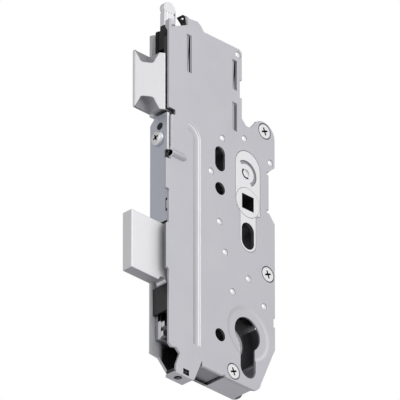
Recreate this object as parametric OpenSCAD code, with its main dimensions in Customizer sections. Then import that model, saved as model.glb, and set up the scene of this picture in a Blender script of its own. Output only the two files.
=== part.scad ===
// Gearbox of a key-operated multipoint door lock, without its faceplate.
// X runs from the front edge of the lock towards the hinges, Z runs up, and Y runs
// through the case from the cover (negative) to the rear plate (positive).
// The origin is on the axis of the handle spindle, halfway through the case.

/* [Case] */
// Thickness of the closed case over both plates
case_t = 14.2; // [14:0.1:15.4]
// Thickness of the pressed steel plates
sheet_t = 1.5; // [1.2:0.1:1.6]
// From the spindle axis to the front edge of the plates
backset = 54.3; // [53:0.1:58]
// From the spindle axis to the back edge of the plates
case_back = 18.6; // [18:0.1:22]
// Height of the top edge over the spindle axis
case_top = 83.7; // [82:0.1:92]
// From the cylinder axis down to the bottom edge
below_cylinder = 29.9; // [28.5:0.1:34]
// From the spindle axis down to the cylinder axis
pz = 72.6; // [70:0.1:78]
// How far the upper part of the case reaches behind the front edge
upper_depth = 50.2; // [47:0.1:54]

/* [Latch] */
// Travel of the latch
latch_travel = 12; // [8:0.5:12]
// Height of the latch head
latch_h = 31.6; // [28:0.1:33]
// Thickness of the latch head
latch_t = 9.6; // [8:0.1:9.8]
// How far the latch head stands out of the front edge
latch_reach = 13.5; // [12.5:0.1:16]
// Height of the middle of the latch over the spindle axis
latch_z = 47.2; // [46.5:0.1:48]
// Depth of the scoops in the top and bottom of the bevel
scoop_d = 6.3; // [3:0.1:8]

/* [Deadbolt] */
// Travel of the deadbolt
bolt_throw = 20; // [16:0.5:20]
// Height of the deadbolt
bolt_h = 32.1; // [30:0.1:33]
// Thickness of the deadbolt
bolt_t = 6.4; // [5.6:0.1:6.4]
// How far the thrown deadbolt stands out of the front edge
bolt_reach = 21.7; // [20.5:0.1:24]
// Height of the middle of the deadbolt over the cylinder axis
bolt_over_cylinder = 25.2; // [24.6:0.1:25.6]
// Diameter of the pin that moves the deadbolt
bolt_pin_d = 4; // [3:0.1:4.4]

/* [Gear train] */
// Tooth module of all gears and of the rack
gear_module = 1.3; // [1.2:0.02:1.32]
// Teeth on the key gear and on the drive gear
small_teeth = 12; // [12:1:12]
// Teeth on the slider gear
large_teeth = 16; // [15:1:16]
// Free play between the flanks of a tooth and its gap
backlash = 0.2; // [0.14:0.01:0.3]
// Sideways distance from the drive gear to the key gear and to the pivot of the cam lever
key_gear_dx = 10.85; // [10.4:0.05:11.2]
// Height of the drive gear over the cylinder axis
drive_gear_over_cylinder = 30.3; // [30:0.1:31]
// Travel of the drive slider
slider_travel = 18; // [15:0.5:18]
// Thickness of the drive slider
slider_t = 1.8; // [1.4:0.1:2]

/* [Follower] */
// Width of the square spindle hole over its flats
spindle_sq = 8.1; // [7:0.1:9]
// Radius of the bearing of the follower in the plates
follower_r = 8; // [7.6:0.1:8.4]
// Turn of the follower from rest to its stop
follower_turn = 45; // [30:1:45]

/* [Openings] */
// Width of the round part of the cylinder hole
cylinder_d = 17.4; // [17:0.1:18]
// Width of the straight part of the cylinder hole
cylinder_slot = 10.4; // [10:0.1:11]
// Height of the whole cylinder hole
cylinder_h = 33.2; // [32.5:0.1:34]
// Diameter of the round holes for handle screws
handle_hole_d = 6.7; // [6:0.1:7.2]
// How far the line of handle screws stands in front of the spindle axis
handle_dx = 19.2; // [18.8:0.1:19.6]
// Diameter of the axles and distance pins
pin_d = 3.5; // [3:0.1:3.6]

/* [Fits] */
// Gap round a shaft that turns in its bore
running = 0.05; // [0.03:0.01:0.08]
// Gap between flat pieces that slide past each other
slide_gap = 0.3; // [0.2:0.05:0.35]

/* [Hidden] */
$fn = 64;
steel = [0.78, 0.78, 0.80];
strip_steel = [0.66, 0.67, 0.71];
nickel = [0.92, 0.92, 0.93];
dark_plastic = [0.10, 0.10, 0.11];
grey_plastic = [0.24, 0.24, 0.26];
brass = [0.80, 0.68, 0.40];
over = 0.01;

half_t = case_t / 2;
in_y = half_t - sheet_t;
front_x = -backset;
cyl_z = -pz;
bottom_z = cyl_z - below_cylinder;
upper_back = front_x + upper_depth;
wall_in = front_x + sheet_t;
pin_r = pin_d / 2;
hole_r = pin_r + running;

// Layers through the case: the slider lies against the rear plate, all else before it
slider_y1 = in_y - slide_gap;
slider_y0 = slider_y1 - slider_t;
mid_y = slider_y0 - slide_gap;

// The stepped front edge beside the deadbolt and the front wall
step_out = 2.1;
wall_bend = 1.7;
wall_top = 30;
wall_bottom = cyl_z + 42.6;
bolt_z = cyl_z + bolt_over_cylinder;
bolt_top = bolt_z + bolt_h / 2;
bolt_bottom = bolt_z - bolt_h / 2;

// Screw ear at the back of the upper part
ear = [11, 42];
ear_r = 7.6;
ear_screw = [11.6, 44.5];
screw_places = [ear_screw, [13.7, cyl_z + 38], [-10.1, cyl_z - 24.8]];
screw_head_r = 4;
screw_r = 2;
screw_gap = 0.15;
post_r = 3.2;

// Pins that only hold the plates apart, with a shoulder between the plates
pin_places = [[15.8, 28.3], [-17.3, 29.2], [-25.2, 7.8], [-19.4, -18.1], [upper_back - 2.6, case_top - 3.4]];
shoulder_r = pin_r + 0.35;
tail_pin = [-2.2, 34.9];

// Handle screw holes, oblong slots and the insert beside the spindle
sleeve_places = [[-handle_dx, 0.4], [-handle_dx, cyl_z - 8.1]];
sleeve_wall = 1;
upper_slot = [-handle_dx, 17, 6.8, 13.4];
lower_slot = [0, -18.6, 8.3, 14.4];

// Gear train
small_r = gear_module * small_teeth / 2;
large_r = gear_module * large_teeth / 2;
drive_gear_at = [0.5, cyl_z + drive_gear_over_cylinder];
key_gear_dz = sqrt(pow(2 * small_r, 2) - pow(key_gear_dx, 2));
key_gear_at = drive_gear_at + [-key_gear_dx, -key_gear_dz];
lever_at = drive_gear_at + [key_gear_dx, -key_gear_dz];
large_angle = 151.6;
large_at = drive_gear_at + (small_r + large_r) * [cos(large_angle), sin(large_angle)];
pressure_angle = 25;
addendum = 0.85 * gear_module;
dedendum = 1.1 * gear_module;
rack_pitch_x = large_at[0] - large_r;
gear_y0 = -mid_y;
gear_w = 2 * mid_y;

// Drive slider, set out from the front wall, the deadbolt and the rack
screen_t = 1;
strip_x0 = wall_in + screen_t + slide_gap;
strip_x1 = strip_x0 + 8.4;
bolt_pin_r = bolt_pin_d / 2;
bolt_pin_at = [front_x + 6, bolt_z - 0.2];
bolt_tail = bolt_pin_r + 1.4;
rack_x0 = rack_pitch_x - dedendum - 2.6;
wide_x1 = rack_pitch_x + 3.4;
wide_top = large_at[1] + 6;
wide_bottom = bolt_pin_at[1] - slider_travel - 6;
slider_bottom = cyl_z - 19;
slider_top = case_top - 3.9;
jog_x0 = front_x + latch_travel + 5.2;
jog_x1 = jog_x0 + 6;
jog_top = latch_z + latch_h / 2 + 2;
jog_bottom = latch_z - latch_h / 2 - slider_travel - 1.2;
guide_pin_places = [[strip_x0 + 4.2, -6], [strip_x0 + 4.2, slider_bottom + slider_travel + 4.1]];

// Latch
latch_x0 = front_x - latch_reach;
latch_back = front_x + 4.3;
latch_y0 = -latch_t / 2;
latch_y1 = latch_t / 2;
latch_lug_x1 = latch_back + 9;
tail_t = 3;
tail_z0 = tail_pin[1] - 3.3;
tail_z1 = tail_pin[1] + 4;
rod_z = latch_z + 5;
rod_r = 2;
rod_end = front_x + 27;
bracket_x = front_x + 30.5 - sheet_t;

// The nose of the follower swings equally far on both sides of the vertical
nose_reach = latch_travel / (2 * sin(follower_turn / 2));
nose_r = 2.5;
hub_r = 10.1;
nose_lean = follower_turn / 2;
leg_x0 = -nose_reach * sin(nose_lean) + nose_r + slide_gap;
leg_w = 3.4;
leg_z0 = nose_reach * cos(nose_lean) - 1.3;

// Springs
latch_wire_r = 0.45;
latch_coil_r = rod_r + 0.5 + latch_wire_r;
latch_turns = 9;
follower_wire_r = 0.55;
follower_coil_r = 8.9;

module slab(y0, t) translate([0, y0 + t, 0]) rotate([90, 0, 0]) linear_extrude(t) children();
module rod_y(at, r, y0, y1) translate([at[0], y1, at[1]]) rotate([90, 0, 0]) cylinder(r = r, h = y1 - y0);
module box(x0, x1, y0, y1, z0, z1) translate([x0, y0, z0]) cube([x1 - x0, y1 - y0, z1 - z0]);
module at2(p) translate([p[0], p[1]]) children();

// Oblong hole, upright, of width w and height h about its centre
module oblong(x, z, w, h) translate([x, z]) {
    square([w, h - w], center = true);
    for (s = [-1, 1]) translate([0, s * (h - w) / 2]) circle(d = w);
}

// Outline of the euro profile cylinder hole, grown all round by g
module cylinder_outline(g = 0) translate([0, cyl_z]) {
    circle(r = cylinder_d / 2 + g);
    stem = cylinder_h - cylinder_d / 2 - cylinder_slot / 2;
    translate([-cylinder_slot / 2 - g, -stem]) square([cylinder_slot + 2 * g, stem]);
    translate([0, -stem]) circle(r = cylinder_slot / 2 + g);
}

// Outline of a plate. The cover has steps at its front edge and small reliefs at its
// corners, the rear plate turns into the front wall there.
module plate_outline(cover = true) {
    difference() {
        polygon(concat(cover_front, [
            [front_x, case_top - 6.5], [front_x + 12.2, case_top - 0.8], [front_x + 14, case_top],
            [upper_back - 1.5, case_top], [upper_back, case_top - 1.5],
            [upper_back, ear[1] + 3.6], [upper_back + 3, ear[1] + 0.6], [1.6, ear[1] + 0.5],
            [ear[0] - 5.2, ear[1] + 5.6], [ear[0], ear[1]], [case_back, ear[1]],
            [case_back, 26.6], [case_back - 4.2, 22.8], [case_back - 4.2, 0], [case_back, -5],
            [case_back, cyl_z - 2.4], [case_back - 1.6, cyl_z - 5.6], [8.6, cyl_z - 25.2],
            [3, bottom_z + 6], [3, bottom_z], [front_x + 22.8, bottom_z], [front_x + 22.5, bottom_z + 2.2]],
            cover ? tab_outline : tongue_outline));
        translate([upper_back - 1.4, 56.7]) square([5, 10]);
        translate([case_back - 1, cyl_z + 10.3]) square([5, 5.1]);
        if (cover) for (p = [[case_back - 4.7, 21.8], [case_back - 4.7, 0.6], [front_x + 38, bottom_z]])
            at2(p) circle(r = relief_r);
        if (!cover) {
            translate([front_x - 5, bottom_z - 20]) square([5.5, 200]);
            translate([front_x - 5, wall_bottom]) square([5 + wall_bend, wall_top - wall_bottom]);
        }
    }
    if (cover) polygon([[front_x + 13.4, case_top - 1], [front_x + 12.1, case_top + 4.3],
        [front_x + 13.9, case_top + 3.4], [front_x + 19.7, case_top + 4.1], [front_x + 22.1, case_top + 2.4],
        [front_x + 24.8, case_top - 1]]);
    at2(ear) circle(r = ear_r);
    translate([2.8, bottom_z + 6]) circle(r = 6);
}
relief_r = 0.9;
tab_x0 = front_x + 5;
tab_x1 = front_x + 16.4;
tab_z = bottom_z - 10.4;
cover_front = [[front_x, bottom_z + 4.2], [front_x, bolt_bottom + 5.6], [front_x - step_out, bolt_bottom + 6.4],
    [front_x - step_out, wall_bottom - 2.9], [front_x, wall_bottom - 1.6],
    [front_x, -13.4], [front_x - step_out, -13.4], [front_x - step_out, 3.3],
    [front_x, 4.5], [front_x + 2, 11.5], [front_x + 2, wall_top - 1],
    [front_x + 4.3, wall_top - 0.6], [front_x + 4.3, wall_top + 2.1], [front_x, wall_top + 2.1]];
tab_outline = [[front_x + 17.6, tab_z + 1], [tab_x1, tab_z], [tab_x0, tab_z], [tab_x0 + 0.1, bottom_z - 5.5],
    [front_x + 7.6, bottom_z + 1.3], [front_x + 5.2, bottom_z + 3.4], [front_x + 1.9, bottom_z + 2.7]];
tongue_outline = [[front_x + 16, bottom_z - 2.8], [front_x + 11.9, bottom_z - 2.8], [front_x + 6.1, bottom_z + 3],
    [front_x, bottom_z + 3.6]];

// Holes that go through both plates
module shared_holes() {
    at2([0, 0]) circle(r = follower_r + running);
    cylinder_outline();
    for (p = sleeve_places) at2(p) circle(d = handle_hole_d);
    oblong(upper_slot[0], upper_slot[1], upper_slot[2], upper_slot[3]);
    for (p = concat(pin_places, [tail_pin, drive_gear_at, key_gear_at, lever_at, large_at]))
        at2(p) circle(r = pin_r);
}

// Trapezoid section of a pressed groove: w wide at the face and d deep
module groove_section(w, d) polygon([[-w / 2, over], [w / 2, over], [w / 2 - d, -d], [-w / 2 + d, -d]]);

// Long bead beside the front edge, which turns forward at its top through a quarter circle
bead_x = front_x + 19.1;
bead_w = 4.8;
bead_d = 0.6;
bead_bottom = cyl_z - 19.9;
bead_top = 21;
bead_turn_r = 6;
module long_bead(w, d) translate([bead_x, 0, 0]) {
    translate([0, 0, bead_bottom]) linear_extrude(bead_top - bead_bottom) rotate(180) groove_section(w, d);
    translate([-bead_turn_r, 0, bead_top]) rotate([90, 0, 0]) rotate_extrude(angle = 90)
        translate([bead_turn_r, 0]) groove_section(w, d);
}

// Upright stiffening groove of width w between two heights
module short_bead(x, z0, z1, w, d) translate([x, 0, z0]) linear_extrude(z1 - z0)
    polygon([[-w / 2, -over], [w / 2, -over], [w / 2, d], [-w / 2 + 2 * d, d]]);
small_bead_w = 3.6;
small_bead_d = 0.7;
small_beads = [[front_x + 13.6, latch_z + 9.8, latch_z + 30.8], [upper_back - 5.2, 36.8, 52.4],
    [upper_back - 5.2, 59.7, case_top - 7.3]];

dish_r = 14.6;
dish_d = 0.5;
channel_z = 7.5;
channel_r = 2.4;
channel_len = 12.3;
channel_y = -half_t + 0.9;
tab_depth = 7.5;
tab_hole = [front_x + 9.6, -half_t + 3.6];
tab_hole_r = 2;

module insert_outline(g = 0) {
    offset_r = 8.5 + g;
    translate([0, 20]) circle(r = offset_r);
    translate([-offset_r, 0]) square([2 * offset_r, 20]);
    translate([-1.5 - g, -5 - g]) square([10 + 2 * g, 5 + g]);
    circle(r = follower_r + 0.6 + g);
    translate([-5.3 - g, lower_slot[1]]) square([10.9 + 2 * g, 14]);
    translate([0.15, lower_slot[1] - 3.05]) circle(r = 5.45 + g);
    translate([-5.3 - g, lower_slot[1] - 3.05]) square([10.9 + 2 * g, 4]);
}

// Countersunk head of a cover screw, as deep as the sheet, grown all round by g
module countersink(g) {
    translate([0, 0, -sheet_t - over]) cylinder(r = screw_r + g, h = sheet_t);
    translate([0, 0, -sheet_t]) cylinder(r1 = screw_r + g, r2 = screw_head_r + g, h = sheet_t + over * sign(g));
}

module cover_plate() color(steel) difference() {
    union() {
        slab(-half_t, sheet_t) plate_outline();
        // backs of the pressed grooves
        translate([0, -in_y, 0]) long_bead(bead_w, bead_d);
        for (b = small_beads) translate([0, -in_y, 0]) short_bead(b[0], b[1], b[2], small_bead_w, small_bead_d);
        // half-round screw channel
        translate([wall_in + 0.1, channel_y, channel_z]) rotate([0, 90, 0])
            cylinder(r = channel_r, h = channel_len - sheet_t - 3.1);
        translate([front_x + channel_len - 3, channel_y, channel_z]) rotate([0, 90, 0])
            cylinder(r1 = channel_r, r2 = 0.8, h = 3);
        // lower tab, folded under the case
        box(tab_x0, tab_x1, -half_t, -half_t + tab_depth, tab_z, tab_z + sheet_t);
        // corner bent in behind the faceplate, beside the upper rod coupling
        translate([front_x, 0, 0]) rotate([90, 0, 90]) linear_extrude(sheet_t) polygon([
            [-half_t, case_top - 10.5], [3 - half_t, case_top - 5.4],
            [3 - half_t, case_top - 2.2], [-half_t, case_top - 1.7]]);
        // hook in the slot of the front wall
        box(front_x, wall_in - 0.1, -in_y - over, -in_y + 0.8, wall_bottom + 6.4, wall_bottom + 11);
    }
    slab(-half_t - 1, sheet_t + 3) {
        shared_holes();
        insert_outline(0.1);
    }
    for (p = screw_places) translate([p[0], -half_t, p[1]]) rotate([90, 0, 0]) countersink(screw_gap);
    translate([0, -half_t, 0]) long_bead(bead_w, bead_d);
    for (b = small_beads) translate([0, -half_t, 0]) short_bead(b[0], b[1], b[2], small_bead_w, small_bead_d);
    // dished field round the cylinder hole
    translate([0, -half_t, cyl_z]) rotate([-90, 0, 0])
        translate([0, 0, -over]) cylinder(r1 = dish_r, r2 = dish_r - 2 * dish_d, h = dish_d + over);
    translate([front_x - 5, channel_y, channel_z]) rotate([0, 90, 0]) cylinder(r = 1.5, h = channel_len + 2);
    box(front_x - 5, front_x + 1.3, -half_t - 1, -in_y + 1, channel_z - 4, channel_z + 0.6);
    translate([tab_hole[0], tab_hole[1], tab_z - 1]) cylinder(r = tab_hole_r, h = sheet_t + 1.2);
    box(tab_hole[0] + 0.2, tab_hole[0] + 4.2, -half_t - 1, -in_y + over, tab_z + 1.2, tab_z + 4.2);
    // slits along the back edges of the short grooves
    for (b = small_beads) box(b[0] + small_bead_w / 2 - 1, b[0] + small_bead_w / 2 - 0.2,
        -half_t - 1, -in_y + 2, b[1] + 0.4, b[2] - 0.4);
}

// Threaded plate on the tab, for the screw from the faceplate's lower bracket
module tab_nut() color(strip_steel) difference() {
    box(tab_x0 + 0.3, tab_x1 - 1, -in_y, -half_t + tab_depth - 0.3, tab_z + sheet_t + 0.4, tab_z + 2 * sheet_t + 0.4);
    translate([tab_hole[0], tab_hole[1], tab_z]) cylinder(r = tab_hole_r - 0.35, h = 6);
}

module rear_case() {
    color(steel) slab(in_y, sheet_t) difference() {
        plate_outline(false);
        shared_holes();
        oblong(lower_slot[0], lower_slot[1], lower_slot[2], lower_slot[3]);
        for (p = guide_pin_places) at2(p) circle(r = pin_r);
    }
    color(steel) {
        // back walls, top wall and bottom walls
        box(case_back - sheet_t, case_back, -in_y, in_y + over, cyl_z + 16, -6);
        box(case_back - 4.2 - sheet_t, case_back - 4.2, -in_y, in_y + over, 2, 20.4);
        box(case_back - sheet_t, case_back, -in_y, in_y + over, ear[1] - 10.2, ear[1] - 2);
        box(case_back - sheet_t, case_back, -in_y, in_y + over, cyl_z - 2, cyl_z + 9.8);
        box(upper_back - sheet_t, upper_back, -in_y, in_y + over, 47, 56);
        box(upper_back - sheet_t, upper_back, -in_y, in_y + over, 67.4, case_top - 8);
        box(front_x + 25, upper_back - 6, -in_y, in_y + over, case_top - sheet_t, case_top);
        box(front_x + 38.6, 3, -in_y, in_y + over, bottom_z, bottom_z + sheet_t);
        box(front_x + 23.2, front_x + 37.6, -in_y, in_y + over, bottom_z + 1.2, bottom_z + 1.2 + sheet_t);
    }
    // front wall between the latch and the deadbolt
    color(strip_steel) difference() {
        translate([0, 0, wall_bottom]) linear_extrude(wall_top - wall_bottom) difference() {
            union() {
                translate([front_x, -in_y]) square([sheet_t, in_y + half_t - wall_bend]);
                translate([front_x + wall_bend, in_y]) square([0.1, sheet_t]);
                translate([front_x + wall_bend, half_t - wall_bend]) circle(r = wall_bend);
            }
            translate([wall_in, -half_t]) square([5, half_t + in_y]);
            translate([front_x + wall_bend + 0.1, -half_t]) square([5, case_t + 1]);
        }
        translate([front_x - 1, -0.6, wall_top - 6.2]) rotate([0, 90, 0]) cylinder(r = 2, h = 4);
        translate([front_x - 1, 0.2, wall_top - 13]) rotate([0, 90, 0]) cylinder(r = 2, h = 4);
        box(front_x - 1, wall_in + 1, -in_y - over, -in_y + 1.1, wall_bottom + 5.1, wall_bottom + 12.3);
        translate([front_x - 1, in_y + 0.6, wall_top + 0.5]) rotate([45, 0, 0]) translate([0, -3, -3]) cube([4, 6, 6]);
        box(front_x - 1, wall_in + 1, -in_y - over, -in_y + 1.7, channel_z - 4, channel_z + 1.8);
    }
}

// Cross recess of a screw head that opens towards the front of its own Z axis
module cross_recess(r, d) for (a = [0, 90]) rotate(a) translate([-r, -0.45, -d]) cube([2 * r, 0.9, d + 1]);

module cover_screws() color(nickel) for (p = screw_places) translate([p[0], -half_t, p[1]]) rotate([90, 0, 0])
    difference() {
        union() {
            countersink(0);
            translate([0, 0, -8]) cylinder(r = screw_r, h = 7);
        }
        rotate(20) cross_recess(2.2, 1.1);
    }

module screw_posts() color(steel) for (p = screw_places) difference() {
    rod_y(p, post_r, -in_y, in_y);
    rod_y(p, screw_r, -in_y - 1, 1.2);
}

module front_screw() color(nickel) translate([front_x, 0.2, wall_top - 13]) rotate([0, -90, 0]) difference() {
    union() {
        cylinder(r = 3.75, h = 1.5);
        translate([0, 0, 1.5]) cylinder(r1 = 3.75, r2 = 2.6, h = 0.8);
        translate([0, 0, -7]) cylinder(r = 1.95, h = 7.1);
    }
    translate([0, 0, 2.3]) rotate(15) cross_recess(2.2, 1.3);
}

// Block behind the front wall that holds the front screw
module latch_block() color(dark_plastic) difference() {
    box(wall_in, wall_in + 8, -in_y + 0.2, mid_y, 11.5, latch_z - latch_h / 2 - slide_gap);
    translate([front_x, 0.2, wall_top - 13]) rotate([0, 90, 0]) cylinder(r = 1.95, h = 8.5);
}

module distance_pins() color(nickel) for (p = pin_places) {
    rod_y(p, pin_r, -half_t + 0.1, half_t - 0.1);
    rod_y(p, shoulder_r, -in_y, in_y);
}

module tail_guide_pin() color(nickel) rod_y(tail_pin, pin_r, -half_t + 0.1, half_t - 0.1);
// The upper pin has a head that keeps the slider on the rear plate, the lower one is flush
module slider_guide_pins() color(nickel) {
    for (p = guide_pin_places) rod_y(p, pin_r, slider_y0 + 0.2, half_t - 0.1);
    rod_y(guide_pin_places[0], pin_r, slider_y0 - 0.3, slider_y0 + 1);
    rod_y(guide_pin_places[0], pin_r + 1.2, slider_y0 - 1.1, slider_y0 - 0.3);
}
module gear_axles() color(nickel) for (p = [drive_gear_at, key_gear_at, lever_at, large_at])
    rod_y(p, pin_r, -half_t + 0.1, half_t - 0.1);

insert_pin_at = [-1, 16];
module follower_insert() color(nickel) difference() {
    union() {
        slab(-half_t + 0.1, sheet_t - 0.1) insert_outline();
        slab(-in_y, 0.7) insert_outline(1.1);
    }
    slab(-half_t - 1, sheet_t + 4) {
        circle(r = follower_r + running);
        oblong(lower_slot[0], lower_slot[1], lower_slot[2], lower_slot[3]);
        at2(insert_pin_at) circle(r = 2.1);
    }
    // arc groove round the pin
    translate([insert_pin_at[0], -half_t + 0.8, insert_pin_at[1]]) rotate([90, 0, 0]) rotate(-60)
        rotate_extrude(angle = 190) translate([5.2, 0]) square([1.7, 2]);
}
module insert_pin() color(nickel) {
    rod_y(insert_pin_at, 2.1, -half_t + 0.7, -in_y + 0.7);
    rod_y(insert_pin_at, 3, -in_y + 0.7, -in_y + 1.3);
}

// Thin liners of the two oblong holes
liner_wall = 0.9;
module slot_liners() color(dark_plastic) {
    slab(-in_y + 0.75, 2 * in_y - 0.75) difference() {
        oblong(lower_slot[0], lower_slot[1], lower_slot[2] + 2 * liner_wall, lower_slot[3] + 2 * liner_wall);
        oblong(lower_slot[0], lower_slot[1], lower_slot[2], lower_slot[3]);
    }
    slab(-in_y, 2 * in_y) difference() {
        oblong(upper_slot[0], upper_slot[1], upper_slot[2] + 2 * liner_wall, upper_slot[3] + 2 * liner_wall);
        oblong(upper_slot[0], upper_slot[1], upper_slot[2], upper_slot[3]);
    }
}

module screw_sleeves() color(dark_plastic) for (p = sleeve_places) difference() {
    rod_y(p, handle_hole_d / 2 + sleeve_wall, -in_y, in_y);
    rod_y(p, handle_hole_d / 2, -in_y - 1, in_y + 1);
}

// Dark cup on the rear plate that shields the works from the cylinder
cup_r = case_back - sheet_t - 0.7;
cup_wall = 0.9;
module cylinder_cup() color(grey_plastic) difference() {
    union() {
        slab(in_y - 0.5, 0.5) at2([0, cyl_z]) circle(r = cup_r);
        slab(-in_y + 0.4, 2 * in_y - 0.4) at2([0, cyl_z]) difference() {
            circle(r = cup_r);
            circle(r = cup_r - cup_wall);
            rotate(38) square(40);
            rotate(52) square(40);
            translate([-cylinder_slot / 2 - 0.6, -40]) square([cylinder_slot + 1.2, 40]);
        }
    }
    slab(-half_t, case_t) {
        cylinder_outline(0.3);
        for (p = [key_gear_at, lever_at]) at2(p) circle(r = pin_r + 0.4);
    }
}

module upper_guide() color(dark_plastic)
    box(wall_in + 0.8, wall_in + 8, -in_y, conn_y0 - slide_gap, latch_z + latch_h / 2 + 1.2, case_top - 9);

// Guide over the top of the case, with a leaning face towards the rod coupling
guide_x0 = front_x + 10.8;
module top_guide() color(dark_plastic) difference() {
    slab(-in_y, 4.7) polygon([[guide_x0 + 2.9, case_top - 10], [guide_x0 + 2.9, case_top + 2.6],
        [guide_x0, case_top + 5.1], [guide_x0 + 4.4, case_top + 5.1], [guide_x0 + 5.4, case_top - 2],
        [guide_x0 + 9, case_top - 2], [guide_x0 + 9, case_top - 10]]);
    slab(-in_y + 1.2, 2.3) polygon([[guide_x0 + 1.2, case_top + 2.6], [guide_x0 + 1.2, case_top + 6],
        [guide_x0 + 3.3, case_top + 6], [guide_x0 + 3.3, case_top + 2.6]]);
    bead = small_beads[0];
    box(bead[0] - small_bead_w, bead[0] + small_bead_w, -in_y - 1, -in_y + 0.9, case_top - 11, bead[2] + 0.5);
}

// Block below the deadbolt with a screen in front of the slider's strip
module bolt_guide() color(dark_plastic) difference() {
    union() {
        box(wall_in + 1.5, wall_in + 12, -in_y, -0.6, bolt_bottom - 15, bolt_bottom - 0.5);
        box(wall_in, wall_in + screen_t, -in_y + 1, in_y, bolt_bottom - 15, bolt_bottom - 0.5);
        box(wall_in + screen_t - over, wall_in + 1.6, -in_y, -0.6, bolt_bottom - 15, bolt_bottom - 0.5);
    }
    box(wall_in + 3.5, wall_in + 10, -in_y - 1, -2.6, bolt_bottom - 13, bolt_bottom - 2.5);
}

// Angle on the rear plate that the latch spring pushes against
module spring_bracket() color(steel) difference() {
    union() {
        box(bracket_x, bracket_x + sheet_t, -4, in_y, rod_z - 6, rod_z + 6);
        box(bracket_x, bracket_x + 8, in_y - sheet_t, in_y, rod_z - 6, rod_z + 6);
    }
    translate([bracket_x - 1, 0, rod_z]) rotate([0, 90, 0]) cylinder(r = rod_r + 0.3, h = 4);
}

// Round wire swept along a list of points, closed at both ends. Each point has a
// direction that the wire never runs along, so that the rings don't twist.
function unit(v) = v / norm(v);
function wire_ring(p, t, ref, r, n) = let (side = unit(cross(t, ref)), up = cross(side, t))
    [for (i = [0:n - 1]) p + r * (cos(360 * i / n) * side + sin(360 * i / n) * up)];
module wire(path, refs, r, n = 6) {
    last = len(path) - 1;
    tangents = [for (i = [0:last]) unit(path[min(i + 1, last)] - path[max(i - 1, 0)])];
    points = [for (i = [0:last]) each wire_ring(path[i], tangents[i], refs[i], r, n)];
    polyhedron(points = points, faces = concat(
        [[for (i = [0:n - 1]) i]], [[for (i = [n - 1:-1:0]) last * n + i]],
        [for (k = [0:last - 1]) for (i = [0:n - 1])
            each [[k * n + i, (k + 1) * n + i, k * n + (i + 1) % n],
                [k * n + (i + 1) % n, (k + 1) * n + i, (k + 1) * n + (i + 1) % n]]]));
}

coil_rings = 16;
latch_spring_x0 = latch_back + latch_wire_r + 0.1;
latch_spring_x1 = bracket_x - latch_wire_r - 0.1;
latch_spring_path = [for (i = [0:latch_turns * coil_rings]) let (a = 360 * i / coil_rings)
    [latch_spring_x0 + (latch_spring_x1 - latch_spring_x0) * i / (latch_turns * coil_rings),
        latch_coil_r * cos(a), rod_z + latch_coil_r * sin(a)]];
module latch_spring() color(steel) wire(latch_spring_path, [for (p = latch_spring_path) [1, 0, 0]], latch_wire_r);

// Leg spring wound round the follower. Its long leg lies under a distance pin, and its
// short leg is bent into a hole in the hub.
follower_turns = 1.25;
leg_rest = pin_places[2] - [1.3, shoulder_r + follower_wire_r + 0.35];
leg_lean = acos(follower_coil_r / norm(leg_rest));
leg_angle = atan2(leg_rest[1], leg_rest[0]) - leg_lean;
coil_end = leg_angle - 360 * follower_turns;
follower_spring_y0 = mid_y + follower_wire_r + 0.1;
follower_spring_y1 = in_y - follower_wire_r - 0.1;
function on_coil(a) = follower_coil_r * [cos(a), 0, sin(a)];
follower_spring_path = concat(
    [[leg_rest[0], follower_spring_y1, leg_rest[1]]],
    [for (i = [0:follower_turns * 24]) on_coil(leg_angle - 15 * i)
        + [0, follower_spring_y1 - (follower_spring_y1 - follower_spring_y0) * i / (follower_turns * 24), 0]],
    [for (t = [[5, 0.3], [8, 1.0], [9, 2.2]]) on_coil(coil_end - t[0]) + [0, follower_spring_y0 - t[1], 0]]);
follower_spring_refs = [for (i = [0:len(follower_spring_path) - 1])
    let (p = follower_spring_path[max(i, 1)]) unit([p[0], 0, p[2]])];
module follower_spring() color(steel) wire(follower_spring_path, follower_spring_refs, follower_wire_r);

// Latch head: a bevel towards the cover, scooped out at its top and bottom
bevel_x1 = front_x - 0.7;
nose_wall = 1.4;
module scoop(s) translate([0, latch_z + s * latch_h / 2]) scale([1, s]) {
    polygon([[latch_x0 - 1, 1], [latch_x0 - 1, 0], [latch_x0 + 0.2, 0], [latch_x0 + 2.2, -scoop_d + 1.8],
        [latch_x0 + 8.6, -scoop_d + 1.8], [latch_x0 + 10.6, 0], [latch_x0 + 10.6, 1]]);
    for (x = [latch_x0 + 4, latch_x0 + 6.8]) translate([x, -scoop_d + 1.8]) circle(r = 1.8);
    translate([latch_x0 + 4, -scoop_d]) square([2.8, 2]);
}
module latch_bolt() color(nickel) difference() {
    union() {
        translate([0, 0, latch_z - latch_h / 2]) linear_extrude(latch_h)
            polygon([[latch_x0, latch_y1], [latch_x0, latch_y1 - nose_wall], [bevel_x1, latch_y0],
                [latch_back, latch_y0], [latch_back, latch_y1]]);
        box(latch_back - over, latch_lug_x1, latch_y0, -tail_t / 2, tail_z0, tail_z1 + 4);
    }
    slab(latch_y0 - 1, latch_t + 1 - nose_wall) {
        scoop(1);
        scoop(-1);
    }
    for (x = [latch_back + 2.5, latch_lug_x1 - 2.2]) rod_y([x, tail_pin[1]], 1.25, latch_y0 - 1, 0);
    translate([latch_back - 4, 0, rod_z]) rotate([0, 90, 0]) cylinder(r = rod_r, h = 9);
}
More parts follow.
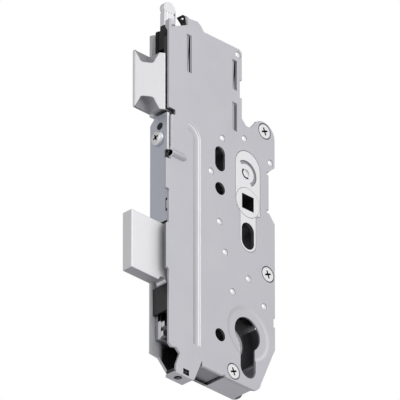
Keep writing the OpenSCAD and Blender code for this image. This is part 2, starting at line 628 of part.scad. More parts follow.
module latch_tail() color(steel) difference() {
    slab(-tail_t / 2, tail_t) difference() {
        union() {
            translate([latch_back, tail_z0]) square([leg_x0 + leg_w - latch_back, tail_z1 - tail_z0]);
            translate([leg_x0, leg_z0]) square([leg_w, tail_z1 - leg_z0]);
        }
        translate([tail_pin[0] - latch_travel - 0.5, tail_pin[1] - pin_r - slide_gap])
            square([latch_travel + 1, 2 * (pin_r + slide_gap)]);
        for (x = [tail_pin[0] - latch_travel - 0.5, tail_pin[0] + 0.5])
            translate([x, tail_pin[1]]) circle(r = pin_r + slide_gap);
        for (x = [24, 32]) translate([front_x + x, tail_pin[1]]) circle(r = 2);
    }
    for (x = [latch_back + 2.5, latch_lug_x1 - 2.2]) rod_y([x, tail_pin[1]], 1.25, -5, 5);
}
module latch_rivets() color(nickel) for (x = [latch_back + 2.5, latch_lug_x1 - 2.2]) {
    rod_y([x, tail_pin[1]], 1.25, latch_y0 + 0.2, tail_t / 2);
    rod_y([x, tail_pin[1]], 2, tail_t / 2, tail_t / 2 + 0.7);
}
module spring_rod() color(nickel) translate([latch_back - 4, 0, rod_z]) rotate([0, 90, 0])
    cylinder(r = rod_r, h = rod_end - latch_back + 4);

module follower() color(nickel) difference() {
    union() {
        rod_y([0, 0], follower_r, -half_t, half_t);
        slab(-mid_y, 2 * mid_y) {
            circle(r = hub_r);
            rotate(90 + nose_lean) {
                polygon([[7, -5], [nose_reach - 3.5, -1.7], [nose_reach, -1.7], [nose_reach, 1.7],
                    [nose_reach - 3.5, 1.7], [7, 5]]);
                translate([nose_reach, 0]) circle(r = nose_r);
            }
        }
    }
    slab(-half_t - 1, case_t + 2) square(spindle_sq, center = true);
    // hole for the short leg of the follower spring
    slab(mid_y - 2.4, 3) for (t = [2:10]) rotate(coil_end - t) translate([follower_coil_r, 0])
        circle(r = follower_wire_r + 0.15);
}

// Involute gear outline. Teeth are thinned by the play and stand at angle turn from the X axis
function involute(a) = tan(a) * 180 / PI - a;
function half_tooth(r, pitch_r, teeth) = let (
    base_r = pitch_r * cos(pressure_angle), q = max(r, base_r))
    90 / teeth - backlash / 4 / pitch_r * 180 / PI + involute(pressure_angle) - involute(acos(base_r / q));
module gear_outline(teeth, turn) {
    pitch_r = gear_module * teeth / 2;
    root_r = pitch_r - dedendum;
    tip_r = pitch_r + addendum;
    base_r = max(root_r, pitch_r * cos(pressure_angle));
    radii = concat([root_r], [for (i = [0:4]) base_r + (tip_r - base_r) * i / 4]);
    rotate(turn) polygon([for (k = [0:teeth - 1]) for (side = [-1, 1]) for (i = [0:5])
        let (r = radii[side < 0 ? i : 5 - i], a = 360 * k / teeth + side * half_tooth(r, pitch_r, teeth))
        r * [cos(a), sin(a)]]);
}
function mesh_turn(angle, from_turn, from_teeth, teeth) =
    angle + 180 + (angle - from_turn) * from_teeth / teeth + 180 / teeth;
key_angle = atan2(-key_gear_dz, -key_gear_dx);
large_turn = mesh_turn(large_angle, 0, small_teeth, large_teeth);

module gear(at, teeth, turn) difference() {
    union() {
        slab(gear_y0 + 0.3, gear_w - 0.3) at2(at) gear_outline(teeth, turn);
        rod_y(at, pin_r + 2, -in_y + 0.3, mid_y);
    }
    rod_y(at, hole_r, -half_t, half_t);
}
module drive_gear() color(brass) gear(drive_gear_at, small_teeth, 0);
module key_gear() color(brass) gear(key_gear_at, small_teeth, mesh_turn(key_angle, 0, small_teeth, small_teeth));

// Lever over the cylinder, lifted by the cam of the cylinder as it passes
cam_tip_r = 15.2;
lever_foot_z = cyl_z + cam_tip_r + 0.4;
module cam_lever() color(nickel) difference() {
    slab(-mid_y + 0.3, 2 * mid_y - 0.6) {
        at2(lever_at) circle(r = pin_r + 1.9);
        polygon([lever_at + [0, pin_r + 1.9], [1.6, lever_foot_z + 2.6], [0.4, lever_foot_z + 1.2],
            [1.4, lever_foot_z], [5.4, lever_foot_z - 0.9], lever_at + [0, -pin_r - 1.9]]);
    }
    rod_y(lever_at, hole_r, -half_t, half_t);
}
module slider_gear() color(brass) difference() {
    gear(large_at, large_teeth, large_turn);
    for (a = [0:60:300]) rod_y(large_at + 6.2 * [cos(a), sin(a)], 1.2, -half_t, half_t);
}

// Rack: its gap faces the gap of the slider gear that is nearest to the rack line
rack_pitch = PI * gear_module;
large_lag = (180 - large_turn) - floor((180 - large_turn) / (360 / large_teeth)) * 360 / large_teeth;
rack_gap_z = large_at[1] + large_r * large_lag * PI / 180;
rack_teeth = ceil(slider_travel / rack_pitch) + 1;
rack_z0 = rack_gap_z - rack_teeth * rack_pitch;
rack_z1 = rack_gap_z + 1 * rack_pitch;
module slider_rack() color(brass) difference() {
    slab(-1, slider_y0 + 1) {
        translate([rack_x0, rack_z0]) square([rack_pitch_x - dedendum - rack_x0, rack_z1 - rack_z0]);
        for (k = [0:rack_teeth]) translate([rack_pitch_x, rack_z0 + (k + 0.5) * rack_pitch]) {
            h = rack_pitch / 4 - backlash / 4;
            lean = tan(pressure_angle);
            polygon([[-dedendum - over, -h - lean * dedendum], [addendum, -h + lean * addendum],
                [addendum, h - lean * addendum], [-dedendum - over, h + lean * dedendum]]);
        }
    }
    for (p = rack_rivet_places) rod_y(p, 1, -2, slider_y0 + 1);
}
rack_rivet_places = [[rack_x0 + 1.4, rack_z0 + 3], [rack_x0 + 1.4, rack_z1 - 3]];
module rack_rivets() color(nickel) for (p = rack_rivet_places) {
    rod_y(p, 1, -0.8, slider_y1 - 0.1);
}

// Flat slider: a strip behind the front wall, a jog round the latch, a wide part with the
// slanted slot for the deadbolt pin
connector_rivet_places = [[strip_x0 + 3.4, slider_top - 3], [strip_x0 + 3.4, slider_top - 8]];
module slider_outline() difference() {
    union() {
        translate([strip_x0, slider_bottom]) square([strip_x1 - strip_x0, jog_bottom - slider_bottom]);
        translate([strip_x0, jog_bottom - 7]) square([jog_x1 - strip_x0, 7]);
        translate([jog_x0, jog_bottom - 7]) square([jog_x1 - jog_x0, jog_top + 7 - jog_bottom]);
        polygon([[strip_x0, jog_top], [jog_x1, jog_top - 2], [jog_x1, jog_top],
            [strip_x1 + 2, jog_top + 6], [strip_x0, jog_top + 6]]);
        translate([strip_x0, jog_top]) square([strip_x1 - strip_x0 - 1.4, slider_top - jog_top]);
        translate([strip_x0, wide_bottom]) square([wide_x1 - strip_x0, wide_top - wide_bottom]);
        translate([strip_x0, wide_bottom])
            polygon([[0, -8], [strip_x1 - strip_x0, -8], [wide_x1 - strip_x0, 0], [0, 0]]);
    }
    // slanted slot
    r = bolt_pin_r + running;
    hole_end = bolt_pin_at + [bolt_throw, -slider_travel];
    at2(bolt_pin_at) circle(r = r);
    at2(hole_end) circle(r = r);
    d = unit(hole_end - bolt_pin_at);
    n = [-d[1], d[0]] * r;
    polygon([bolt_pin_at + n, hole_end + n, hole_end - n, bolt_pin_at - n]);
    for (p = guide_pin_places) translate([p[0], p[1] - slider_travel / 2])
        oblong(0, 0, 2 * (pin_r + slide_gap), slider_travel + 2 * (pin_r + slide_gap));
    for (p = concat(rack_rivet_places, connector_rivet_places)) at2(p) circle(r = 1);
}
module drive_slider() color(steel) slab(slider_y0, slider_t) slider_outline();

// Upper rod coupling: a flat bar with a round head and a serrated side, riveted on the
// slider and standing out of the top of the case
conn_x0 = strip_x0 + 0.2;
conn_x1 = conn_x0 + 7.4;
conn_y0 = -0.7;
conn_y1 = 2.5;
conn_z1 = case_top + 12.3;
conn_waist_z = case_top + 6.3;
serration = 1.6;
module top_connector() color(nickel) difference() {
    union() {
        slab(conn_y0, conn_y1 - conn_y0) difference() {
            union() {
                translate([conn_x0, slider_top - 11]) square([conn_x1 - conn_x0, conn_waist_z - slider_top + 11]);
                translate([(conn_x0 + conn_x1) / 2, conn_z1 - 4]) circle(r = 4);
                translate([conn_x0 - 0.2, conn_waist_z + 0.4]) square([conn_x1 - conn_x0, 1.6]);
            }
            for (x = [conn_x0 - 0.5, conn_x1 + 0.5]) translate([x, conn_waist_z]) circle(r = 0.9);
        }
        box(conn_x0, conn_x1 - 0.8, conn_y1 - over, slider_y0, slider_top - 11, slider_top);
    }
    for (k = [1:4]) translate([conn_x0 + serration * k, conn_y0, case_top + 1]) rotate(45)
        translate([-0.35, -0.35, 0]) cube([0.7, 0.7, 5.4]);
    for (p = connector_rivet_places) rod_y(p, 1, conn_y0 - 1, slider_y0 + 1);
}
module connector_rivets() color(nickel) for (p = connector_rivet_places) {
    rod_y(p, 1, conn_y0 + 0.2, slider_y1 - 0.1);
}
module bottom_connector() color(nickel) union() {
    box(strip_x0, strip_x0 + 7.8, 1.6, slider_y0, slider_bottom - 0.2, slider_bottom + 9.6);
    box(strip_x0, strip_x0 + 2.6, -0.2, slider_y0, slider_bottom + 0.8, slider_bottom + 3.6);
    box(strip_x0 + 0.8, strip_x0 + 4.6, -0.2, slider_y0, slider_bottom + 6.4, slider_bottom + 9.2);
}

module deadbolt() color(nickel) difference() {
    union() {
        box(front_x - bolt_reach, front_x + 3.6, -bolt_t / 2, bolt_t / 2, bolt_bottom, bolt_top);
        box(front_x + 3, bolt_pin_at[0] + bolt_tail, -bolt_t / 2, bolt_t / 2,
            bolt_bottom + 1.2, bolt_pin_at[1] + bolt_tail);
    }
    rod_y(bolt_pin_at, bolt_pin_r, -bolt_t, bolt_t);
    translate([front_x - 0.6, 0, bolt_bottom]) rotate([90, 0, 0]) cylinder(r = 2.2, h = 2 * bolt_t, center = true);
}
module deadbolt_pin() color(nickel) rod_y(bolt_pin_at, bolt_pin_r, -bolt_t / 2, slider_y1 - 0.05);

rear_case();
cover_plate();
cover_screws();
screw_posts();
front_screw();
latch_block();
tab_nut();
distance_pins();
tail_guide_pin();
slider_guide_pins();
gear_axles();
follower_insert();
insert_pin();
screw_sleeves();
slot_liners();
cylinder_cup();
upper_guide();
top_guide();
bolt_guide();
spring_bracket();
latch_spring();
follower_spring();
latch_bolt();
latch_tail();
latch_rivets();
spring_rod();
follower();
drive_gear();
key_gear();
cam_lever();
slider_gear();
drive_slider();
slider_rack();
rack_rivets();
top_connector();
connector_rivets();
bottom_connector();
deadbolt();
deadbolt_pin();
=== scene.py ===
import math

import bmesh
import bpy
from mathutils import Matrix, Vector


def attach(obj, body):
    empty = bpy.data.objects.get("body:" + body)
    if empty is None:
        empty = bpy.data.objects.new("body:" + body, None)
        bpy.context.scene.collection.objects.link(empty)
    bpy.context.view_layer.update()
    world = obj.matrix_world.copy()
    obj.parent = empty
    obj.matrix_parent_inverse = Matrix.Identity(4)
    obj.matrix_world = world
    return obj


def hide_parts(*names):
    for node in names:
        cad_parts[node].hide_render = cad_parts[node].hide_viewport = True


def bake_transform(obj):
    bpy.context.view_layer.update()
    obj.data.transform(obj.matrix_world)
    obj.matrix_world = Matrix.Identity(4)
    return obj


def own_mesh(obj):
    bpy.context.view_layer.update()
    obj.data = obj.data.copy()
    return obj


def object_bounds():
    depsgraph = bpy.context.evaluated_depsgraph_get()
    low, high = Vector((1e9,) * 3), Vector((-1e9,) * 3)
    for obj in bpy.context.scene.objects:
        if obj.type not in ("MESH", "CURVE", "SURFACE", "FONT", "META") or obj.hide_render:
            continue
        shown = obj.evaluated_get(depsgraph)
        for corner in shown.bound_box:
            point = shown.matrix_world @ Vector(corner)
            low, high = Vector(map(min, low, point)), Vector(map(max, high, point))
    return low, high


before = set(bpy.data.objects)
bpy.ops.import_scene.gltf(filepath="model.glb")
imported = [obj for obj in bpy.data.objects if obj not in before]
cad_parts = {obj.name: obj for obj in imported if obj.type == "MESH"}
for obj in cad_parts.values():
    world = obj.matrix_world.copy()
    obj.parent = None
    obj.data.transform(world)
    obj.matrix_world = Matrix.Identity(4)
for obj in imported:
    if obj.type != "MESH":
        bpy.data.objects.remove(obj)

MM = 0.001
cad_box = [list(corner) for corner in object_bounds()]

# Rear case. Rear plate, front wall, back wall and floor are one blank of cold rolled
# steel, 1.5 mm thick, folded up and zinc plated. It carries every other piece.
ZINC = (0.57, 0.57, 0.605)
ZINC_SHADE = (0.49, 0.49, 0.525)
SHADED_WALL_BLUE = (0.53, 0.555, 0.62)
FLANGE_SHADE = (0.24, 0.24, 0.26)
MOUTH_HIGHLIGHT = (0.75, 0.75, 0.77)
# Black for painted shade in hollows and inside the case
PAINTED_SHADE = (0.02, 0.02, 0.022)
EDGE_HIGHLIGHT = (0.86, 0.86, 0.88)
CASE_FRONT = -54.3 * MM
CASE_FLOOR = -100.5 * MM
EDGE_ROOM = 0.3 * MM
FLANGE_FROM = -31.3 * MM
FLANGE_TO = -16.5 * MM
LINED_FROM = 5 * MM
MOUTH_END = -46.5 * MM
MOUTH_FADE = 2.5 * MM
WALL_END_X = -52.5 * MM
WALL_END_Y = -5.5 * MM
WALL_END_Z = (4 * MM, 30 * MM)

# Grains of the noise to the metre, and how far it is drawn out along the strip
CLOUD_GRAINS = 55
STREAK_GRAINS = 2400
SPECK_GRAINS = 5200
ROLLED = (1, 1, 0.04)
GRAIN_DEPTH = 0.05 * MM

# How squarely a face has to look along an axis to count as turned that way
SQUARE_ON = 0.8
HALF_ON = 0.5


class Socket:
    """A socket of a node tree that adds a Math node for each operator used on it."""

    def __init__(self, graph, out):
        self.graph = graph
        self.out = out

    def join(self, operation, first, second):
        return self.graph.add("ShaderNodeMath", {"operation": operation}, {0: first, 1: second})[0]

    def __add__(self, other):
        return self.join("ADD", self, other)

    def __radd__(self, other):
        return self.join("ADD", other, self)

    def __sub__(self, other):
        return self.join("SUBTRACT", self, other)

    def __rsub__(self, other):
        return self.join("SUBTRACT", other, self)

    def __mul__(self, other):
        return self.join("MULTIPLY", self, other)

    def __rmul__(self, other):
        return self.join("MULTIPLY", other, self)

    def __neg__(self):
        return self * -1

    def above(self, limit):
        return self.join("GREATER_THAN", self, limit)

    def below(self, limit):
        return self.join("LESS_THAN", self, limit)

    def between(self, low, high):
        return self.above(low) * self.below(high)

    def ramp(self, low, high):
        """0 below low, 1 above high, even in between."""
        grown = (self - low) * (1 / (high - low))
        return self.join("MINIMUM", self.join("MAXIMUM", grown, 0), 1)

    def band(self, low, full, off, high):
        """0 below low and above high, 1 from full to off, even in between."""
        return self.ramp(low, full) * (1 - self.ramp(off, high))

    def root(self):
        return self.graph.add("ShaderNodeMath", {"operation": "SQRT"}, {0: self})[0]


class Graph:
    """A node tree that is written down as expressions."""

    def __init__(self, tree):
        self.tree = tree

    def add(self, kind, settings, values):
        """Adds a node, sets its settings, then its sockets, and returns its outputs."""
        node = self.tree.nodes.new(kind)
        for key, value in settings.items():
            setattr(node, key, value)
        for key, value in values.items():
            if isinstance(value, Socket):
                self.tree.links.new(value.out, node.inputs[key])
            else:
                node.inputs[key].default_value = value
        named = {out.name: Socket(self, out) for out in node.outputs if out.enabled}
        return {**named, **{key: Socket(self, out) for key, out in enumerate(node.outputs)}}


class Finish(Graph):
    """One procedural material round a Principled shader."""

    def __init__(self, name, metallic, roughness):
        self.material = bpy.data.materials.new(name)
        self.material.use_nodes = True
        super().__init__(self.material.node_tree)
        self.shader = self.tree.nodes["Principled BSDF"]
        self.shader.inputs["Metallic"].default_value = metallic
        self.shader.inputs["Roughness"].default_value = roughness
        self.place = self.add("ShaderNodeTexCoord", {}, {})

    def noise(self, scale, detail=3.0, stretch=(1, 1, 1)):
        """Noise with scale grains to the metre, drawn out along an axis by stretch."""
        place = self.add("ShaderNodeMapping", {}, {"Vector": self.place["Object"], "Scale": stretch})
        grains = self.add("ShaderNodeTexNoise", {}, {
            "Vector": place["Vector"], "Scale": scale, "Detail": detail})
        return grains["Fac"]

    def mix(self, mask, first, second):
        """Colour that goes from first to second as mask goes from 0 to 1."""
        values = {0: mask}
        values[6] = first if isinstance(first, Socket) else (*first, 1)
        values[7] = second if isinstance(second, Socket) else (*second, 1)
        return self.add("ShaderNodeMix", {"data_type": "RGBA"}, values)[2]

    def axes(self, of="Object"):
        """X, Y and Z of the place on the piece, or of its surface normal."""
        parts = self.add("ShaderNodeSeparateXYZ", {}, {"Vector": self.place[of]})
        return parts[0], parts[1], parts[2]

    def feed(self, label, value):
        self.tree.links.new(value.out, self.shader.inputs[label])

    def grain(self, height, strength):
        bump = self.add("ShaderNodeBump", {}, {
            "Height": height, "Strength": strength, "Distance": GRAIN_DEPTH})
        self.feed("Normal", bump[0])


def rolled_zinc(name, patches=(), lit_matte=None):
    """Zinc plate on rolled sheet: faint clouds, fine streaks along the rolling direction and
    duller cut edges. Each patch is a mask and the colour painted under it, and the last
    argument is the mask of a part made non-metallic and rougher, so that it shows lighter, as painted
    light."""
    finish = Finish(name, 1.0, 0.36)
    clouds = finish.noise(CLOUD_GRAINS)
    streaks = finish.noise(STREAK_GRAINS, 2.0, ROLLED)
    speckle = finish.noise(SPECK_GRAINS, 1.0)
    side = finish.axes("Normal")[1]
    cut = (side * side).below(0.4)
    colour = finish.mix(clouds * 0.7 + streaks * 0.35, ZINC, ZINC_SHADE)
    for mask, tone in patches:
        colour = finish.mix(mask(finish), colour, finish.mix(streaks * 0.4, tone, ZINC_SHADE))
    finish.feed("Base Color", colour)
    rough = clouds * 0.08 + streaks * 0.08 + cut * 0.08 + 0.30
    # Painted light: this part is made non-metallic and rougher so that it shows lighter.
    if lit_matte:
        film = lit_matte(finish)
        finish.feed("Metallic", 1 - film * 0.8)
        rough = rough + film * 0.25
    finish.feed("Roughness", rough)
    finish.grain(streaks + speckle * 0.5, 0.2)
    return finish


def wear(finish, *nodes):
    """Puts a finish on CAD nodes, on their own slots."""
    for node in nodes:
        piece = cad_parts[node]
        for number in range(max(1, len(piece.material_slots))):
            if number < len(piece.data.materials):
                piece.data.materials[number] = finish.material
            else:
                piece.data.materials.append(finish.material)


# Painted shade: the faces of the front wall that look forward get a darker, bluer colour.
def shaded_front_wall(finish):
    return finish.axes()[0].below(CASE_FRONT + EDGE_ROOM) * finish.axes("Normal")[0].below(-SQUARE_ON)


# Painted shade on the downward faces of the recessed part of the lower flange.
def shaded_flange(finish):
    across, _, up = finish.axes()
    underneath = up.below(CASE_FLOOR) * finish.axes("Normal")[2].below(-HALF_ON)
    return underneath * across.between(FLANGE_FROM, FLANGE_TO)


def lining_side(finish):
    return finish.axes()[1].above(LINED_FROM) * finish.axes("Normal")[1].below(-SQUARE_ON)


# Painted light on the inner face of the rear plate near the mouth of the case; it is also made matte so
# that it shows lighter.
def lit_mouth_side(finish):
    return lining_side(finish) * finish.axes()[0].below(MOUTH_END)


# Painted shade: the inner face of the rear plate fades to black deeper inside the case.
def shaded_deep_side(finish):
    return lining_side(finish) * finish.axes()[0].ramp(MOUTH_END - MOUTH_FADE, MOUTH_END)


def lit_wall_end(finish):
    """The end of the front wall that the cut-back edge of the cover leaves in sight, with a painted
    highlight.
    """
    across, depth, up = finish.axes()
    return across.below(WALL_END_X) * depth.below(WALL_END_Y) * up.between(*WALL_END_Z)


# The patches of the case are painted light and shade: shade on the front wall, on the lower flange and
# deep inside, light near the mouth of the rear plate and a highlight on the end of the front wall.
case_zinc = rolled_zinc("zinc_case", (
    (shaded_front_wall, SHADED_WALL_BLUE), (shaded_flange, FLANGE_SHADE), (lit_mouth_side, MOUTH_HIGHLIGHT),
    (shaded_deep_side, PAINTED_SHADE), (lit_wall_end, EDGE_HIGHLIGHT)), lit_mouth_side)
wear(case_zinc, "rear_case")

# Distance pins, gear axles and the guide pin of the latch tail. Turned steel, zinc
# plated, staked in both plates, so that they show as bright domed dots on the cover.
PIN_STEEL = (0.85, 0.85, 0.86)
PIN_SHADE = (0.74, 0.74, 0.76)
TURNED_GRAINS = 3000
PIN_RADIUS = 1.75 * MM
PIN_DOME = 0.32 * MM
SHOULDER_RADIUS = 2.1 * MM
SHEET = 1.5 * MM

# The domed end of a pin, in shares of its radius and of the height of the dome
DOME_FLAT = 0.5
DOME_BEND = 0.86
DOME_RISE = 0.35

# Height of a sharp shoulder, and distances within which points of a mesh become one
SHARP_STEP = 1e-6
PATTERN_WELD = 0.0005 * MM
SAME_POINT = 0.001 * MM
WELD = 0.002 * MM

SHARP_FROM = math.radians(34)
ALONG_Y = (math.radians(-90), 0, 0)


class Pattern(Graph):
    """A geometry tree with named sizes, which puts one turned or wound form at each point."""

    def __init__(self, name):
        super().__init__(bpy.data.node_groups.new(name, "GeometryNodeTree"))
        for way in ("INPUT", "OUTPUT"):
            self.tree.interface.new_socket(name="Geometry", in_out=way, socket_type="NodeSocketGeometry")
        self.given = self.tree.nodes.new("NodeGroupInput")
        self.values = {}

    def size(self, name, value):
        entry = self.tree.interface.new_socket(name=name, in_out="INPUT", socket_type="NodeSocketFloat")
        self.values[entry.identifier] = value
        return Socket(self, self.given.outputs[name])

    def lift(self, mesh, height):
        place = self.add("ShaderNodeCombineXYZ", {}, {"Z": height})["Vector"]
        return self.add("GeometryNodeTransform", {}, {"Geometry": mesh, "Translation": place})["Geometry"]

    def joined(self, meshes):
        node = self.tree.nodes.new("GeometryNodeJoinGeometry")
        for mesh in meshes:
            self.tree.links.new(mesh.out, node.inputs[0])
        return Socket(self, node.outputs[0])

    def turned(self, stations, sides=48):
        """A closed turned solid through stations of radius and height."""
        walls = []
        for (low_r, low), (high_r, high) in zip(stations, stations[1:]):
            cone = self.add("GeometryNodeMeshCone", {"fill_type": "NONE"}, {
                "Vertices": sides, "Radius Bottom": low_r, "Radius Top": high_r, "Depth": high - low})
            walls.append(self.lift(cone["Mesh"], low))
        base, lid = [self.disc(sides, *station) for station in (stations[0], stations[-1])]
        walls += [lid, self.add("GeometryNodeFlipFaces", {}, {"Mesh": base})["Mesh"]]
        return self.add("GeometryNodeMergeByDistance", {}, {
            "Geometry": self.joined(walls), "Distance": PATTERN_WELD})["Geometry"]

    def disc(self, sides, radius, height):
        disc = self.add("GeometryNodeMeshCircle", {"fill_type": "NGON"}, {
            "Vertices": sides, "Radius": radius})
        return self.lift(disc["Mesh"], height)

    def points(self):
        """The points that the pattern is made on."""
        return Socket(self, self.given.outputs["Geometry"])

    def at_points(self, form, turn):
        """One form at each point, its own Z axis turned by turn, an Euler angle in radians."""
        aim = self.add("FunctionNodeEulerToRotation", {}, {"Euler": turn})["Rotation"]
        return self.add("GeometryNodeInstanceOnPoints", {}, {
            "Points": self.points(), "Instance": form, "Rotation": aim})["Instances"]

    def send(self, mesh):
        end = self.tree.nodes.new("NodeGroupOutput")
        self.tree.links.new(mesh.out, end.inputs["Geometry"])

    def close(self, form, finish):
        """Ends the tree in Realize Instances, Set Material and its output."""
        real = self.add("GeometryNodeRealizeInstances", {}, {"Geometry": form})["Geometry"]
        dressed = self.add("GeometryNodeSetMaterial", {}, {"Geometry": real, "Material": finish.material})
        self.send(dressed["Geometry"])

    def make(self, name, points, links=()):
        """A plain mesh piece of this pattern at the points, which the links join to a line."""
        mesh = bpy.data.meshes.new(name)
        mesh.from_pydata(points, links, [])
        piece = bpy.data.objects.new(name, mesh)
        bpy.context.scene.collection.objects.link(piece)
        grown = piece.modifiers.new("pattern", "NODES")
        grown.node_group = self.tree
        for identifier, value in self.values.items():
            grown[identifier] = value
        done = bpy.data.meshes.new_from_object(piece.evaluated_get(bpy.context.evaluated_depsgraph_get()))
        piece.modifiers.clear()
        piece.data = done
        return piece


def solids(node):
    """Lowest and highest corner of each separate solid of a CAD node."""
    work = bmesh.new()
    work.from_mesh(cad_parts[node].data)
    bmesh.ops.remove_doubles(work, verts=work.verts, dist=WELD)
    found = []
    left = set(work.verts)
    while left:
        group = [left.pop()]
        for vert in group:
            for edge in vert.link_edges:
                other = edge.other_vert(vert)
                if other in left:
                    left.remove(other)
                    group.append(other)
        found.append([
            Vector(pick(vert.co[k] for vert in group) for k in range(3)) for pick in (min, max)])
    work.free()
    return found


def middles(node, depth=None):
    """Middle of each separate solid across and up, at its lowest Y or at the depth that is given."""
    return [((low.x + high.x) / 2, low.y if depth is None else depth, (low.z + high.z) / 2)
            for low, high in solids(node)]


def settle(piece, body, slot, *nodes):
    """Closes a made piece: faces outwards, smooth round its curves, riding on its body if it has one."""
    work = bmesh.new()
    work.from_mesh(piece.data)
    bmesh.ops.remove_doubles(work, verts=work.verts, dist=SAME_POINT)
    bmesh.ops.recalc_face_normals(work, faces=work.faces)
    work.to_mesh(piece.data)
    work.free()
    piece.data.shade_smooth()
    piece.data.set_sharp_from_angle(angle=SHARP_FROM)
    if body:
        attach(piece, body)
    if nodes:
        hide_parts(*nodes)
    return piece


turned_steel = Finish("turned_steel", 1.0, 0.3)
rings = turned_steel.noise(TURNED_GRAINS, 2.0)
turned_steel.feed("Base Color", turned_steel.mix(rings, PIN_STEEL, PIN_SHADE))
turned_steel.feed("Roughness", rings * 0.15 + 0.26)
turned_steel.grain(rings, 0.12)
COLLARS = {"distance_pins": SHOULDER_RADIUS, "gear_axles": PIN_RADIUS, "tail_guide_pin": PIN_RADIUS}
for node, collar in COLLARS.items():
    low, high = solids(node)[0]
    pin = Pattern(node)
    radius = pin.size("Radius", PIN_RADIUS)
    dome = pin.size("Dome", PIN_DOME)
    shoulder = pin.size("Shoulder radius", collar)
    start = pin.size("Shoulder start", SHEET)
    length = pin.size("Length", high.y - low.y)
    end = length - start
    form = pin.turned([
        (radius * DOME_FLAT, 0), (radius * DOME_BEND, dome * DOME_RISE), (radius, dome),
        (radius, start), (shoulder, start + SHARP_STEP), (shoulder, end - SHARP_STEP), (radius, end),
        (radius, length - dome), (radius * DOME_BEND, length - dome * DOME_RISE),
        (radius * DOME_FLAT, length)])
    pin.close(pin.at_points(form, ALONG_Y), turned_steel)
    settle(pin.make(node + "_staked", middles(node)), "case", "screw_steel", node)

# Posts of the cover screws, which stand between the plates, and the pins that guide the
# drive slider, staked in the rear plate only. Turned like the others.
wear(turned_steel, "screw_posts", "slider_guide_pins")

# Black pieces: the sleeves and liners of the handle screws, the block behind the front
# wall and the guides of the drive slider are polyamide, moulded and snapped in. The
# threaded plate over the lower tab is blackened and looks like them.
BLACK = (0.010, 0.010, 0.012)
BLACK_SHEEN = (0.022, 0.022, 0.024)
MOULD_GRAINS = 4000
GUIDE_EDGE = 0.25 * MM
FLAT_WITHIN = math.radians(0.5)
EDGE_FROM = math.radians(32)
LARGE_FACES = 100


def eased(node, body, finish, width, segments=2):
    """A copy of a CAD node whose cut edges are rounded, as tumbling and plating leave them."""
    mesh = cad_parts[node].data.copy()
    work = bmesh.new()
    work.from_mesh(mesh)
    bmesh.ops.remove_doubles(work, verts=work.verts, dist=WELD)
    bmesh.ops.dissolve_limit(work, angle_limit=FLAT_WITHIN, verts=work.verts, edges=work.edges)
    work.to_mesh(mesh)
    work.free()
    mesh.materials.clear()
    mesh.materials.append(finish.material)
    piece = bpy.data.objects.new(node + "_eased", mesh)
    bpy.context.scene.collection.objects.link(piece)
    bevel = piece.modifiers.new("edges", "BEVEL")
    bevel.width = width
    bevel.segments = segments
    bevel.limit_method = "ANGLE"
    bevel.angle_limit = EDGE_FROM
    bevel.use_clamp_overlap = False
    mesh.shade_smooth()
    flat = piece.modifiers.new("normals", "WEIGHTED_NORMAL")
    flat.mode = "FACE_AREA"
    flat.weight = LARGE_FACES
    done = bpy.data.meshes.new_from_object(piece.evaluated_get(bpy.context.evaluated_depsgraph_get()))
    piece.modifiers.clear()
    piece.data = done
    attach(piece, body)
    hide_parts(node)
    return piece


black = Finish("moulded_black", 0.0, 0.45)
skin = black.noise(MOULD_GRAINS)
black.feed("Base Color", black.mix(skin, BLACK, BLACK_SHEEN))
black.feed("Roughness", skin * 0.2 + 0.35)
black.grain(skin, 0.3)
wear(black, "latch_block", "screw_sleeves", "slot_liners", "upper_guide", "bolt_guide", "tab_nut")
eased("top_guide", "case", black, GUIDE_EDGE)

# Cup behind the cylinder hole. Grey moulding that keeps the works away from the
# cylinder; its floor is what shows through the hole. A thin lining of the same grey
# closes the sides of the hole's stem.
GREY = (0.075, 0.075, 0.083)
GREY_SHEEN = (0.115, 0.115, 0.125)
CYLINDER_Z = -72.6 * MM
STEM_HALF = 5.5 * MM
STEM_WALL = 0.9 * MM
STEM_TOP = CYLINDER_Z - 16 * MM
STEM_ROUND = CYLINDER_Z - 19.3 * MM
STEM_STEPS = 24
LINING_DEPTH = 5.58 * MM


def stem_line(radius):
    """X and Z down one side of the stem, round its foot and up the other side."""
    line = [(-radius, STEM_TOP)]
    for step in range(STEM_STEPS + 1):
        angle = math.pi * (1 + step / STEM_STEPS)
        line.append((radius * math.cos(angle), STEM_ROUND + radius * math.sin(angle)))
    line.append((radius, STEM_TOP))
    return line


grey = Finish("moulded_grey", 0.0, 0.4)
skin = grey.noise(MOULD_GRAINS)
grey.feed("Base Color", grey.mix(skin, GREY, GREY_SHEEN))
grey.grain(skin, 0.25)
wear(grey, "cylinder_cup")
inner = stem_line(STEM_HALF)
outer = stem_line(STEM_HALF + STEM_WALL)
lining = bmesh.new()
corners = ((inner, -LINING_DEPTH), (outer, -LINING_DEPTH), (outer, LINING_DEPTH), (inner, LINING_DEPTH))
rows = [[lining.verts.new((x, y, z)) for x, z in line] for line, y in corners]
for first, second in zip(rows, rows[1:] + rows[:1]):
    for k in range(len(inner) - 1):
        lining.faces.new((first[k], first[k + 1], second[k + 1], second[k]))
for k in (0, len(inner) - 1):
    lining.faces.new([row[k] for row in rows])
lining_mesh = bpy.data.meshes.new("cylinder_stem_lining")
lining.to_mesh(lining_mesh)
lining.free()
lining_mesh.materials.append(grey.material)
lining_piece = bpy.data.objects.new("cylinder_stem_lining", lining_mesh)
bpy.context.scene.collection.objects.link(lining_piece)
settle(lining_piece, "case", "grey_plastic")

